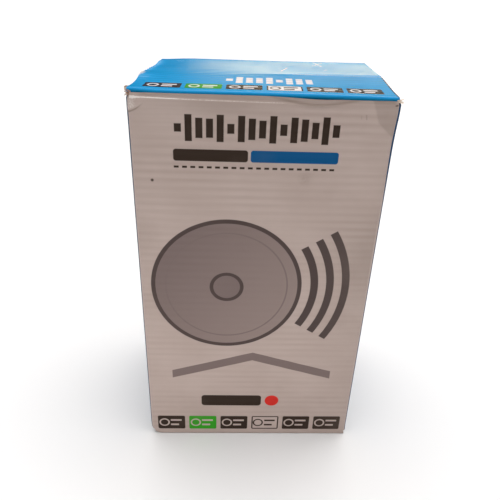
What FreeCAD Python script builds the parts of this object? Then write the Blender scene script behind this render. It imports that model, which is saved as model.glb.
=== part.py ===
import FreeCAD, Part
import os
import Sketcher

# A printed carton of corrugated board with a tuck-in lid, standing upright and empty.
# The front panel faces -Y, +X is to its right and +Z is up. The origin is the middle of the base.

# Driving sizes in millimetres.
SIZES = {
    "width": 190,  # outside, left to right
    "depth": 146,  # outside, front to back
    "height": 326,  # base to the cut top edge of the front panel
    "board": 3,  # thickness of the corrugated board
    "fold_radius": 2.5,  # outside of every fold
    "flap_rise": 0.5,  # dust flaps above the front panel's top edge
    "flap_slot": 0.6,  # cut that parts a dust flap from the panels beside it
    "lid_gap": 0.3,  # lid above the dust flaps
    "lid_inset": 1,  # lid short of each side
    "slot_gap": 0.4,  # tuck flap behind the front panel
    "fold_gap": 0.3,  # lid short of the back panel at their common fold
    "ridge_rise": 2.2,  # crease across the lid, above the lid's front and rear edges
    "ridge_forward": 4,  # crease in front of the middle of the carton
    "tuck_length": 30,  # tuck flap, from the lid's top face
    "tuck_inset": 2,  # tuck flap short of each side panel
    "tuck_corner": 14,  # rounding of the tuck flap's free corners
    "dust_length": 70,  # dust flaps, from the sides inwards
    "dust_taper": 12,  # narrowing of each dust flap edge towards its tip
    "dust_corner": 8,  # rounding of the dust flaps' free corners
    "dust_gap": 1.2,  # dust flaps behind the tuck flap's swing
    "floor_flap": 73,  # inner bottom flaps, from the sides inwards
    "floor_inset": 2.5,  # outer bottom flaps short of each side
    "floor_seam": 1,  # between the outer bottom flaps' free edges
    "glue_flap": 32,  # width of the glue flap inside the left panel
    "glue_end": 14,  # glue flap short of the top edge and the floor
    "glue_slope": 12,  # slant of the glue flap's ends
}

# Sizes and places that follow from the driving sizes.
HALF_WIDTH = "sizes.width / 2"
HALF_DEPTH = "sizes.depth / 2"
INNER_X = f"({HALF_WIDTH} - sizes.board)"
INNER_Y = f"({HALF_DEPTH} - sizes.board)"
FLOOR_TOP = "2 * sizes.board"
FLAP_TOP = "(sizes.height + sizes.flap_rise)"
FLAP_BOTTOM = f"({FLAP_TOP} - sizes.board)"
LID_BOTTOM = f"({FLAP_TOP} + sizes.lid_gap)"
LID_TOP = f"({LID_BOTTOM} + sizes.board)"
LID_HALF = f"({HALF_WIDTH} - sizes.lid_inset)"
LID_FRONT = f"(-{INNER_Y} + sizes.slot_gap)"
LARGEST_BEND = 0.85  # share of the board's thickness that a fold may round away
BEND = f"min(sizes.fold_radius; {LARGEST_BEND} * sizes.board)"

NEAR = 1e-4  # differences smaller than this count as none


def make_sheet(doc):
    sheet = doc.addObject("Spreadsheet::Sheet", "sizes")
    for row, (alias, size) in enumerate(SIZES.items(), 1):
        cell = f"A{row}"
        sheet.set(cell, str(size))
        sheet.setAlias(cell, alias)
    doc.recompute()


def new_body(doc, name):
    body = doc.addObject("PartDesign::Body", name)
    body.Label = name
    return body


def outline(body, name, role, loops, offset):
    """Closed loops on one of the body's origin planes, each corner held by two expressions."""
    sketch = body.newObject("Sketcher::SketchObject", name)
    plane = next(item for item in body.Origin.OriginFeatures if item.Role == role)
    sketch.AttachmentSupport = [(plane, "")]
    sketch.MapMode = "FlatFace"
    sketch.setExpression(".AttachmentOffset.Base.z", offset)
    for corners in loops:
        first = sketch.GeometryCount
        count = len(corners)
        points = [FreeCAD.Vector(*map(body.evalExpression, corner), 0) for corner in corners]
        for place in range(count):
            sketch.addGeometry(Part.LineSegment(points[place], points[(place + 1) % count]))
        for place, corner in enumerate(corners):
            line = first + place
            following = first + (place + 1) % count
            sketch.addConstraint(Sketcher.Constraint("Coincident", line, 2, following, 1))
            for kind, expression, value in zip(("DistanceX", "DistanceY"), corner, points[place]):
                held = Sketcher.Constraint(kind, -1, 1, line, 1, value)
                number = sketch.addConstraint(held)
                sketch.setExpression(f"Constraints[{number}]", expression)
    return sketch


def rectangle(left, right, front, rear):
    return [(left, front), (right, front), (right, rear), (left, rear)]


def mirrored(corners):
    return [(f"-({across})", along) for across, along in corners]


def volume(body):
    return 0 if body.Shape.isNull() else body.Shape.Volume


def extrude(body, kind, sketch, length, symmetric=False):
    """Adds or removes a sketch's length of board, and stops if that changed nothing."""
    before = volume(body)
    feature = body.newObject(f"PartDesign::{kind}", f"{sketch.Name}_{kind.lower()}")
    feature.Profile = sketch
    feature.SideType = "Symmetric" if symmetric else "One side"
    feature.setExpression("Length", length)
    body.Document.recompute()
    change = volume(body) - before
    if change * (1 if kind == "Pad" else -1) < NEAR:
        raise RuntimeError(f"{feature.Name} changed nothing")


def round_edges(body, name, radius, direction, **places):
    """Rounds the straight edges that run along one axis at the given distances from the origin."""
    wanted = {axis: body.evalExpression(size) for axis, size in places.items()}
    base = body.Tip
    found = []
    for number, edge in enumerate(base.Shape.Edges, 1):
        span = edge.BoundBox
        lengths = {"x": span.XLength, "y": span.YLength, "z": span.ZLength}
        middle = {"x": span.Center.x, "y": span.Center.y, "z": span.Center.z}
        straight = all(size < NEAR for axis, size in lengths.items() if axis != direction)
        if straight and all(abs(abs(middle[axis]) - size) < NEAR for axis, size in wanted.items()):
            found.append(f"Edge{number}")
    if not found:
        raise RuntimeError(f"{name} found no edges")
    feature = body.newObject("PartDesign::Fillet", name)
    feature.Base = (base, found)
    feature.setExpression("Radius", radius)
    body.Document.recompute()


def add_walls(body):
    """Four panels folded into a tube, with the inner bottom flaps folded in from the sides."""
    outside = rectangle(f"-{HALF_WIDTH}", HALF_WIDTH, f"-{HALF_DEPTH}", HALF_DEPTH)
    walls = outline(body, "walls", "XY_Plane", [outside], "sizes.board")
    extrude(body, "Pad", walls, "sizes.height - sizes.board")
    round_edges(body, "corner_folds", BEND, "z", x=HALF_WIDTH, y=HALF_DEPTH)
    round_edges(body, "floor_folds", BEND, "y", x=HALF_WIDTH, z="sizes.board")

    inside = rectangle(f"-{INNER_X}", INNER_X, f"-{INNER_Y}", INNER_Y)
    hollow = outline(body, "hollow", "XY_Plane", [inside], "sizes.height")
    extrude(body, "Pocket", hollow, f"sizes.height - {FLOOR_TOP}")

    flap_edge = f"({HALF_WIDTH} - sizes.floor_flap)"
    between = rectangle(f"-{flap_edge}", flap_edge, f"-{INNER_Y}", INNER_Y)
    flap_gap = outline(body, "inner_flap_gap", "XY_Plane", [between], FLOOR_TOP)
    extrude(body, "Pocket", flap_gap, "sizes.board")


def add_bottom_flaps(body):
    """Outer bottom flaps from the front and back panels, glued down with a seam between them."""
    reach = f"({HALF_WIDTH} - sizes.floor_inset)"
    seam = "sizes.floor_seam / 2"
    flaps = [
        rectangle(f"-{reach}", reach, f"-{HALF_DEPTH}", f"-{seam}"),
        rectangle(f"-{reach}", reach, seam, HALF_DEPTH),
    ]
    bottom = outline(body, "bottom_flaps", "XY_Plane", flaps, "0")
    extrude(body, "Pad", bottom, "sizes.board")
    round_edges(body, "bottom_folds", BEND, "x", y=HALF_DEPTH, z="0")


def add_back_fold(body):
    """The back panel's top, which rises to the lid's height and ends in a mitre at their fold."""
    rise = rectangle(f"-{LID_HALF}", LID_HALF, INNER_Y, HALF_DEPTH)
    back = outline(body, "back_rise", "XY_Plane", [rise], "sizes.height")
    extrude(body, "Pad", back, f"{LID_TOP} - sizes.height")
    round_edges(body, "back_fold", BEND, "x", y=HALF_DEPTH, z=LID_TOP)

    lid_side = [
        (INNER_Y, LID_BOTTOM),
        (f"{HALF_DEPTH} + sizes.board", f"{LID_TOP} + sizes.board"),
        (INNER_Y, f"{LID_TOP} + sizes.board"),
    ]
    mitre = outline(body, "back_mitre", "YZ_Plane", [lid_side], "0")
    extrude(body, "Pocket", mitre, "2 * sizes.width", symmetric=True)


def add_dust_flaps(body):
    """Flaps folded in from the tops of the side panels, which lie under the lid."""
    across = rectangle("-sizes.width", "sizes.width", f"-{INNER_Y}", INNER_Y)
    tops = outline(body, "side_tops", "XY_Plane", [across], "sizes.height")
    extrude(body, "Pocket", tops, f"sizes.height - {FLAP_BOTTOM}")

    fold_front = f"-{INNER_Y} + sizes.flap_slot"
    rear = f"{INNER_Y} - sizes.flap_slot"
    front = f"{LID_FRONT} + sizes.board + sizes.slot_gap + sizes.dust_gap"
    step = f"{INNER_X} - sizes.flap_slot"
    tip = f"{HALF_WIDTH} - sizes.dust_length"
    right_flap = [
        (HALF_WIDTH, fold_front),
        (HALF_WIDTH, rear),
        (step, rear),
        (tip, f"{rear} - sizes.dust_taper"),
        (tip, f"{front} + sizes.dust_taper"),
        (step, front),
        (step, fold_front),
    ]
    flaps = outline(body, "dust_flaps", "XY_Plane", [right_flap, mirrored(right_flap)], FLAP_BOTTOM)
    extrude(body, "Pad", flaps, "sizes.board")
    round_edges(body, "dust_folds", BEND, "y", x=HALF_WIDTH, z=FLAP_TOP)
    round_edges(body, "dust_tips", "sizes.dust_corner", "z", x=tip)


def add_glue_flap(body):
    """The back panel's glue flap, stuck inside the left panel, with slanted ends."""
    free_edge = f"{INNER_Y} - sizes.glue_flap"
    low = f"{FLOOR_TOP} + sizes.glue_end"
    high = "sizes.height - sizes.glue_end"
    flap = [
        (INNER_Y, low),
        (INNER_Y, high),
        (free_edge, f"{high} - sizes.glue_slope"),
        (free_edge, f"{low} + sizes.glue_slope"),
    ]
    glued = outline(body, "glue_flap", "YZ_Plane", [flap], f"-{INNER_X}")
    extrude(body, "Pad", glued, "sizes.board")


def make_carton(doc):
    body = new_body(doc, "carton_body")
    add_walls(body)
    add_bottom_flaps(body)
    add_back_fold(body)
    add_dust_flaps(body)
    add_glue_flap(body)
    return body


def make_lid(doc):
    """The lid panel with a crease across it, and the tuck flap folded down at its front."""
    body = new_body(doc, "top_lid")
    crease = "-sizes.ridge_forward"
    section = [
        (HALF_DEPTH, LID_TOP),
        (crease, f"{LID_TOP} + sizes.ridge_rise"),
        (LID_FRONT, LID_TOP),
        (LID_FRONT, LID_BOTTOM),
        (crease, f"{LID_BOTTOM} + sizes.ridge_rise"),
        (HALF_DEPTH, LID_BOTTOM),
    ]
    panel = outline(body, "lid_panel", "YZ_Plane", [section], "0")
    extrude(body, "Pad", panel, f"2 * {LID_HALF}", symmetric=True)
    round_edges(body, "lid_back_fold", BEND, "x", y=HALF_DEPTH, z=LID_TOP)
    round_edges(body, "lid_front_fold", BEND, "x", y=f"-{LID_FRONT}", z=LID_TOP)

    clear = "sizes.fold_gap * sqrt(2)"
    body_side = [
        (f"{INNER_Y} - sizes.board - {clear}", f"{LID_BOTTOM} - sizes.board"),
        (f"{HALF_DEPTH} + sizes.board", f"{LID_BOTTOM} - sizes.board"),
        (f"{HALF_DEPTH} + sizes.board", f"{LID_TOP} + sizes.board + {clear}"),
    ]
    mitre = outline(body, "lid_mitre", "YZ_Plane", [body_side], "0")
    extrude(body, "Pocket", mitre, "2 * sizes.width", symmetric=True)

    # The flap leans back far enough for its tip to clear the front panel as the lid swings up.
    lean = "(sizes.tuck_length ^ 2 / (2 * (sizes.depth - 2 * sizes.board)) + sizes.slot_gap)"
    tip = f"{LID_TOP} - sizes.tuck_length"
    middle = f"{LID_BOTTOM} + sizes.board / 2"
    flap = [
        (LID_FRONT, middle),
        (f"{LID_FRONT} + {lean}", tip),
        (f"{LID_FRONT} + {lean} + sizes.board", tip),
        (f"{LID_FRONT} + sizes.board", middle),
    ]
    end = f"({INNER_X} - sizes.tuck_inset)"
    tuck = outline(body, "tuck_flap", "YZ_Plane", [flap], "0")
    extrude(body, "Pad", tuck, f"2 * {end}", symmetric=True)
    round_edges(body, "tuck_corners", "sizes.tuck_corner", "y", x=end, z=tip)
    return body


def write_parts(doc, bodies):
    failed = [item.Label for item in doc.Objects if {"Invalid", "Error"} & set(item.State)]
    if failed:
        raise RuntimeError(f"failed: {failed}")
    for body in bodies:
        shape = body.Shape
        if shape.isNull() or not shape.isValid() or len(shape.Solids) != 1:
            raise RuntimeError(f"{body.Label} is not one sound solid")
    os.makedirs("parts", exist_ok=True)
    for body in bodies:
        body.Shape.exportStep(f"parts/{body.Label}.step")
        span = body.Shape.BoundBox
        print(body.Label, round(body.Shape.Volume), span)


def main():
    doc = FreeCAD.newDocument("tuck_top_carton")
    make_sheet(doc)
    write_parts(doc, [make_carton(doc), make_lid(doc)])


main()
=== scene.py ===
import math
import random
from functools import partialmethod

import bmesh
import bpy
import numpy as np
from mathutils import Matrix, Vector


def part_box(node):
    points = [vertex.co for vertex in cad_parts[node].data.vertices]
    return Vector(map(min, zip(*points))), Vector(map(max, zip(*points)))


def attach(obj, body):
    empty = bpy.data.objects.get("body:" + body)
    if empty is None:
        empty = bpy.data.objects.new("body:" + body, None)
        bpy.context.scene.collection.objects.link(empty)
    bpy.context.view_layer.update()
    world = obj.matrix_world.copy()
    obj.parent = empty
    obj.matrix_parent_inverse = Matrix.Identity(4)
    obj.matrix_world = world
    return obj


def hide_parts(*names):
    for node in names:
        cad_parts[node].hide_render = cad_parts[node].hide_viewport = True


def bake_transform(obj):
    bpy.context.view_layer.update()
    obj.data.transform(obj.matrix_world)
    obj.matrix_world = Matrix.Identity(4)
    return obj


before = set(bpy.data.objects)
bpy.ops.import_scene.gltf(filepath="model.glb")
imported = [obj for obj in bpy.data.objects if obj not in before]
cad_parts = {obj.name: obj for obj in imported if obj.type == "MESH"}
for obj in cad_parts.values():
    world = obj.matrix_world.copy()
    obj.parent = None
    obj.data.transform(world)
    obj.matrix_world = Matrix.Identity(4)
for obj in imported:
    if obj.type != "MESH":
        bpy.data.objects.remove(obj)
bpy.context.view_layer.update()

MM = 0.001

# Sizes of the CAD model and of its board.
body_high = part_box("carton_body")[1]
lid_low, lid_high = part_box("top_lid")
BOARD = 3 * MM
FOLD = 2.5 * MM  # outer radius of a fold
BASE_FOLD = 1.0 * MM  # and of the folds of the outer bottom flaps
RIDGE_RISE = 2.2 * MM  # height of the crease across the lid
RIDGE_Y = -7.5 * MM  # its place, a little nearer the front than in CAD
LID_GAP = 0.3 * MM
PANEL_GAP = 0.5 * MM
TUCK_GAP = 2 * MM
SLOT = 0.6 * MM
HALF_WIDTH = body_high.x
HALF_DEPTH = body_high.y
INNER_X = HALF_WIDTH - BOARD
INNER_Y = HALF_DEPTH - BOARD
PANEL_HALF = HALF_WIDTH - FOLD
BACK_FOLD_Y = HALF_DEPTH - FOLD
LID_HALF = lid_high.x
LID_FRONT = lid_low.y
FRONT_FOLD_Y = LID_FRONT + FOLD
LID_TOP = lid_high.z - RIDGE_RISE
LID_FOLD_Z = LID_TOP - FOLD
LID_BOTTOM = LID_TOP - BOARD
FLAP_TOP = LID_BOTTOM - LID_GAP
FLAP_FOLD_Z = FLAP_TOP - FOLD
FLAP_BOTTOM = FLAP_TOP - BOARD
PANEL_TOP = FLAP_TOP - PANEL_GAP
TUCK_TIP = lid_low.z
TUCK_LEAN = 3.6 * MM
TUCK_HALF = INNER_X - TUCK_GAP
TUCK_CORNER = 14 * MM
MITRE_GAP = 0.42 * MM
SEAM_HALF = 0.5 * MM
FLOOR_TOP = 2 * BOARD
FLOOR_GAP_HALF = 22 * MM
DUST_TIP = 25 * MM
DUST_STEP = INNER_X - SLOT
DUST_FOLD_Y = INNER_Y - SLOT
DUST_FRONT = LID_FRONT + BOARD + 1.6 * MM
DUST_TAPER = 12 * MM
DUST_CORNER = 8 * MM
GLUE_FRONT = INNER_Y - 32 * MM
GLUE_INSET = 14 * MM
GLUE_LOW = FLOOR_TOP + GLUE_INSET
GLUE_HIGH = PANEL_TOP - GLUE_INSET
GLUE_SLOPE = 12 * MM

# Paper layers of the board.
FLUTE_PITCH = 6.4 * MM
FLUTE_DEPTH = 4 * MM  # of the grooves at a cut edge
LINER = 0.35 * MM
MEDIUM = 0.25 * MM
MEDIUM_INSET = 0.2 * MM  # how far the wavy paper lies behind the cut

# Depths of the hollows that the flutes leave, and how far panels bulge.
FRONT_HOLLOW = 0.14 * MM
SIDE_HOLLOW = 0.09 * MM
FLAP_HOLLOW = 0.12 * MM
FRONT_BULGE = 0.9 * MM
SIDE_BULGE = 1.2 * MM

# The whole carton is racked in plan, spread, and knocked at its corners.
RACK = 0.0454
SPREAD = 1.008
SPREAD_SHIFT = -0.4 * MM
KNOCKS = [
    # place, reach, shift, all in millimetres
    ((-95, -73, 0), 6, (2.0, 0.7, 2.0)),
    ((92.5, -73, 0), 4.5, (1.3, 0.0, 0.0)),
    ((95, -73, 322), 16, (1.1, 0.0, 0.0)),
    ((-94, 73, 330), 17, (0.5, -0.3, -1.2)),
    ((94, 73, 330), 45, (0.0, 0.0, 0.6)),
]
LID_KNOCKS = [
    ((-94, -70, 328), 14, (-1.2, 0.0, 1.0)),
    ((94, -70, 328), 40, (0.0, 0.0, -0.6)),
    ((-94, -22, 331), 11, (-0.8, 0.0, 1.3)),
    ((-94, 30, 331), 22, (1.4, 0.0, -0.6)),
]

QUARTER = np.radians(np.linspace(0, 90, 7))  # angles round a fold
NEAR = 0.1 * MM  # a place this near to a line counts as on it
WELD = 0.001 * MM  # points nearer than this are joined
SHARP_ANGLE = math.radians(38)
SIDES = {-1: "left", 1: "right"}

join = np.concatenate
random.seed(4)


def bell(value, middle, width):
    """1 at the middle, falling off to both sides."""
    return np.exp(-((value - middle) / width) ** 2)


def rise(value, start, end):
    """From 0 at start to 1 at end, easing in and out."""
    part = np.clip((value - start) / (end - start), 0, 1)
    return part * part * (3 - 2 * part)


def settled(points, knocks):
    """Where points of the square carton are on the racked and knocked one."""
    moved = points.copy()
    moved[..., 0] = points[..., 0] * SPREAD + SPREAD_SHIFT + RACK * points[..., 1]
    for place, reach, shift in knocks:
        gap = np.linalg.norm(points - np.array(place) * MM, axis=-1)
        moved += bell(gap, 0, reach * MM)[..., None] * np.array(shift) * MM
    return moved


def spaced(*stretches):
    """Places along a line, from stretches of start, end and step."""
    runs = [np.linspace(low, high, max(2, round((high - low) / step) + 1)) for low, high, step in stretches]
    return np.unique(np.round(join(runs), 7))


def washboard(along, depth):
    """Hollows that the flutes inside the board leave in its printed face."""
    return -0.5 * depth * (1 - np.cos(2 * np.pi * along / FLUTE_PITCH))


def stack(*parts):
    """Points from arrays or numbers for each coordinate."""
    return np.stack(np.broadcast_arrays(*parts), axis=-1).astype(float)


def distance_along(first, second):
    """How far the points of a line, given by two coordinates, lie from its start."""
    return join([[0], np.cumsum(np.hypot(np.diff(first), np.diff(second)))])


def fold_arc(middle, height, angles):
    """Places round a fold in side view: how far out, and how high."""
    return middle + FOLD * np.cos(angles), height + FOLD * np.sin(angles)


class Sheet:
    """A mesh put together from grids of points. Each corner keeps its place on the flat board, in mm."""

    def __init__(self, name, knocks=KNOCKS):
        self.name = name
        self.knocks = knocks
        self.materials = []
        self.grids = []
        self.count = 0

    def grid(self, points, material, facing, flat=None, painted_light_and_wear=0.0):
        """Adds a grid of quads, turned so that on the whole it faces the given way."""
        rows, columns = points.shape[:2]
        across = points[1:, 1:] - points[:-1, :-1]
        along = points[1:, :-1] - points[:-1, 1:]
        turned = np.sum(np.cross(across, along) @ np.array(facing, float)) < 0
        spots = points[..., [0, 1]] if flat is None else np.broadcast_to(flat, (rows, columns, 2))
        spots = (spots / MM).reshape(-1, 2)
        light_and_wear = np.broadcast_to(painted_light_and_wear, (rows, columns)).reshape(-1)
        number = np.arange(rows * columns).reshape(rows, columns)
        quads = np.stack([number[:-1, :-1], number[:-1, 1:], number[1:, 1:], number[1:, :-1]], axis=-1)
        quads = quads.reshape(-1, 4)
        if turned:
            quads = quads[:, ::-1]
        if material not in self.materials:
            self.materials.append(material)
        kinds = np.full(len(quads), self.materials.index(material))
        corners = quads.reshape(-1)
        places = settled(points, self.knocks).reshape(-1, 3)
        self.grids.append((places, quads + self.count, kinds, spots[corners], light_and_wear[corners]))
        self.count += len(places)

    def strip(self, first, second, material, facing):
        """Adds the faces between two lines of points."""
        self.grid(np.stack([first, second]), material, facing)

    def fluted_ends(self, outer, inner, inward, run):
        """Ends cut across the flutes: a groove between the liners, with the wavy paper in it."""
        lip = LINER / BOARD
        half = 0.5 * MEDIUM / BOARD
        wave = 0.5 - (0.5 - lip - half) * np.cos(2 * np.pi * run / FLUTE_PITCH)
        for column, way in ((0, 1), (-1, -1)):
            inside = way * np.array(inward, float)
            start = outer[:, column]
            across = inner[:, column] - start
            near = start + inside * MEDIUM_INSET
            deep = start + inside * FLUTE_DEPTH
            low, high = across * lip, across * (1 - lip)
            groove = np.stack([start, start + low, deep + low, deep + high, start + high, start + across])
            low, high = across * (wave - half)[:, None], across * (wave + half)[:, None]
            ribbon = np.stack([deep + low, near + low, near + high, deep + high])
            for points in (groove, ribbon):
                self.grid(points, CUT_EDGE, -inside, flat=stack(run, 0))

    def make(self):
        places, faces, kinds, flats, light_and_wear_values = (join(parts) for parts in zip(*self.grids))
        mesh = bpy.data.meshes.new(self.name)
        mesh.from_pydata(places.tolist(), [], faces.tolist())
        for material in self.materials:
            mesh.materials.append(material)
        mesh.polygons.foreach_set("material_index", kinds.astype(np.int32))
        layer = mesh.attributes.new("flat", "FLOAT_VECTOR", "CORNER")
        layer.data.foreach_set("vector", np.column_stack([flats, np.zeros(len(flats))]).reshape(-1))
        layer = mesh.attributes.new("painted_light_and_wear", "FLOAT", "CORNER")
        layer.data.foreach_set("value", light_and_wear_values.astype(np.float32))

        work = bmesh.new()
        work.from_mesh(mesh)
        bmesh.ops.remove_doubles(work, verts=work.verts, dist=WELD)
        bmesh.ops.dissolve_degenerate(work, edges=work.edges, dist=WELD)
        work.to_mesh(mesh)
        work.free()
        mesh.polygons.foreach_set("use_smooth", np.ones(len(mesh.polygons), bool))
        mesh.set_sharp_from_angle(angle=SHARP_ANGLE)
        piece = bpy.data.objects.new(self.name, mesh)
        bpy.context.scene.collection.objects.link(piece)
        return piece


class Field:
    """A shader number that adds and multiplies like a plain one."""

    def __init__(self, tree, socket):
        self.tree = tree
        self.socket = socket

    def do(self, operation, *others, clamp=False):
        node = self.tree.nodes.new("ShaderNodeMath")
        node.operation = operation
        node.use_clamp = clamp
        for pin, value in zip(node.inputs, (self, *others)):
            if isinstance(value, Field):
                self.tree.links.new(value.socket, pin)
            else:
                pin.default_value = value
        return Field(self.tree, node.outputs[0])

    __add__ = partialmethod(do, "ADD")
    __sub__ = partialmethod(do, "SUBTRACT")
    __mul__ = partialmethod(do, "MULTIPLY")
    __truediv__ = partialmethod(do, "DIVIDE")
    __abs__ = partialmethod(do, "ABSOLUTE")
    least = partialmethod(do, "MINIMUM")
    most = partialmethod(do, "MAXIMUM")

    def ramp(self, start, end):
        """From 0 at start to 1 at end."""
        scale = 1 / (end - start)
        return self.do("MULTIPLY_ADD", scale, -start * scale, clamp=True)


INK_SOFT = 0.4  # width in mm over which the edge of the ink fades


def inked(distance, soft=INK_SOFT):
    """1 inside a shape and 0 outside it, from the distance to its outline."""
    return distance.ramp(soft / 2, -soft / 2)


def length(across, along):
    return (across * across + along * along).do("SQRT")


def bar(u, v, middle, size, corner):
    """Distance to a rectangle with rounded corners."""
    across = abs(u - middle[0]) - (size[0] / 2 - corner)
    along = abs(v - middle[1]) - (size[1] / 2 - corner)
    return length(across.most(0), along.most(0)) + across.most(along).least(0) - corner


def disc(u, v, middle, radius):
    return length(u - middle[0], v - middle[1]) - radius


def stroke(u, v, start, end, radius):
    """Distance to a straight stroke with round ends."""
    run = (end[0] - start[0], end[1] - start[1])
    square = run[0] ** 2 + run[1] ** 2
    across, along = u - start[0], v - start[1]
    share = (across * (run[0] / square) + along * (run[1] / square)).least(1).most(0)
    return length(across - share * run[0], along - share * run[1]) - radius


def tint(red, green, blue):
    """A linear colour from the 0 to 255 values that a screen shows."""
    parts = [value / 255 for value in (red, green, blue)]
    return (*[p / 12.92 if p <= 0.04045 else ((p + 0.055) / 1.055) ** 2.4 for p in parts], 1)


PAPER = tint(192, 176, 169)
PAPER_SHADE = tint(177, 160, 152)
LID_WHITE = tint(236, 236, 238)
BLUE = tint(12, 162, 227)
BLUE_DEEP = tint(8, 142, 210)
BLUE_LABEL = tint(2, 82, 134)
BLUE_SIDE = tint(18, 62, 98)
BLUE_SIDE_DEEP = tint(10, 52, 88)
DARK = tint(52, 40, 32)
GREEN = tint(52, 158, 34)
RED = tint(208, 48, 40)
GREY_PALE = tint(149, 133, 128)
GREY = tint(125, 110, 107)
GREY_DARK = tint(80, 68, 66)
KRAFT = tint(176, 138, 98)
KRAFT_DARK = tint(150, 114, 78)
RAW_EDGE = tint(206, 178, 146)
RAW_EDGE_DARK = tint(158, 124, 90)
SPLIT = tint(170, 142, 122)
SPLIT_DARK = tint(112, 82, 66)
TORN = tint(232, 220, 206)
TORN_DARK = tint(190, 164, 138)
# Pale colour of scuffed ink, also used for painted highlights.
SCUFF_AND_HIGHLIGHT = tint(240, 236, 232)
# Dirt colour, also used for painted shade.
GRIME_AND_SHADE = tint(131, 117, 107)

# Specular levels.
MATT = 0.1
VARNISH = 0.5
ROUGH_SPREAD = 0.1
BUMP_DEPTH = 0.02 * MM
BUMP_STRENGTH = 0.6


class Coat:
    """A material built up by painting one colour over another."""

    def __init__(self, name, colour, roughness, specular=VARNISH):
        self.material = bpy.data.materials.new(name)
        self.material.use_nodes = True
        self.tree = self.material.node_tree
        self.shader = self.tree.nodes["Principled BSDF"]
        self.shader.inputs["Specular IOR Level"].default_value = specular
        flat = self.node("ShaderNodeAttribute")
        flat.attribute_name = "flat"
        split = self.node("ShaderNodeSeparateXYZ")
        self.tree.links.new(flat.outputs["Vector"], split.inputs[0])
        self.place = flat.outputs["Vector"]
        self.u = Field(self.tree, split.outputs[0])
        self.v = Field(self.tree, split.outputs[1])
        light_and_wear = self.node("ShaderNodeAttribute")
        light_and_wear.attribute_name = "painted_light_and_wear"
        self.painted_light_and_wear = Field(self.tree, light_and_wear.outputs["Fac"])
        self.colour = colour
        self.rough = self.cloud(30, 2) * ROUGH_SPREAD + (roughness - ROUGH_SPREAD / 2)

    def node(self, kind):
        return self.tree.nodes.new(kind)

    def cloud(self, size, detail, stretch=(1, 1)):
        """Noise from about 0 to 1 in lumps of the given size in mm, drawn out along u or v."""
        scale = self.node("ShaderNodeVectorMath")
        scale.operation = "MULTIPLY"
        scale.inputs[1].default_value = (1 / (size * stretch[0]), 1 / (size * stretch[1]), 1)
        self.tree.links.new(self.place, scale.inputs[0])
        noise = self.node("ShaderNodeTexNoise")
        noise.inputs["Scale"].default_value = 1
        noise.inputs["Detail"].default_value = detail
        self.tree.links.new(scale.outputs[0], noise.inputs["Vector"])
        return Field(self.tree, noise.outputs[0])

    def paint(self, mask, colour):
        mix = self.node("ShaderNodeMix")
        mix.data_type = "RGBA"
        self.tree.links.new(mask.socket, mix.inputs[0])
        for pin, value in ((mix.inputs[6], self.colour), (mix.inputs[7], colour)):
            if isinstance(value, tuple):
                pin.default_value = value
            else:
                self.tree.links.new(value, pin)
        self.colour = mix.outputs[2]

    def finish(self, height):
        """Joins the colour, the roughness and a fine bump to the shader."""
        bump = self.node("ShaderNodeBump")
        bump.inputs["Distance"].default_value = BUMP_DEPTH
        bump.inputs["Strength"].default_value = BUMP_STRENGTH
        links = self.tree.links
        links.new(height.socket, bump.inputs["Height"])
        links.new(bump.outputs["Normal"], self.shader.inputs["Normal"])
        links.new(self.colour, self.shader.inputs["Base Color"])
        links.new(self.rough.socket, self.shader.inputs["Roughness"])
        return self.material


def flute_bands(coat):
    """Painted shade in bands along the flutes' hollows, stronger in some places than in others."""
    band = (coat.v * (2 * math.pi * MM / FLUTE_PITCH)).do("COSINE").ramp(0.6, -1)
    return band * coat.cloud(40, 2, stretch=(3, 1)).ramp(0.35, 0.7)


def paper_base(name):
    """White coated paper, a little uneven, with faint bands of painted shade along the flutes."""
    coat = Coat(name, PAPER, roughness=0.46, specular=MATT)
    coat.paint(coat.cloud(45, 3).ramp(0.35, 0.75) * 0.6, PAPER_SHADE)
    coat.paint(coat.cloud(1.5, 3, stretch=(40, 1)).ramp(0.45, 0.8) * 0.35, PAPER_SHADE)
    coat.paint(flute_bands(coat) * 0.8, PAPER_SHADE)
    return coat


def blue_base(name, roughness, blue, deep, specular=VARNISH):
    """A field of blue ink on coated paper, with streaks along the flutes."""
    coat = Coat(name, blue, roughness, specular)
    coat.paint(coat.cloud(50, 3).ramp(0.35, 0.75) * 0.35, deep)
    coat.paint(coat.cloud(2, 3, stretch=(30, 1)).ramp(0.5, 0.8) * 0.3, deep)
    return coat


def light_and_wear_finish(coat):
    """Painted shade where the mesh's painted light value is below 0, paler paint where it is above 0 for
    scuffed ink and painted highlights, and the fine grain of the paper.
    """
    grain = coat.cloud(1.2, 3)
    coat.paint(coat.painted_light_and_wear.ramp(0, -1) * 0.8, GRIME_AND_SHADE)
    coat.paint((coat.painted_light_and_wear * 1.5 - grain * 0.7).ramp(0.1, 0.6), SCUFF_AND_HIGHLIGHT)
    return coat.finish(coat.cloud(0.5, 3, stretch=(3, 1)))


# Print. Its lengths are in millimetres, u across and v up from the middle of the front's foot.
BAR_TURN = 1.9  # radians from one bar of a waveform to the next
GREEN_CHIP = 1
OUTLINED_CHIP = 3


def repeats(coat, first, count, pitch):
    """Which repeat of a row a place is in, its distance from that one's middle, and 1 in the row."""
    shifted = (coat.u - first) / pitch
    number = shifted.do("FLOOR")
    local = (shifted - number - 0.5) * pitch
    in_row = number.do("GREATER_THAN", -0.5) * number.do("LESS_THAN", count - 0.5)
    return number, local, in_row


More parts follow.
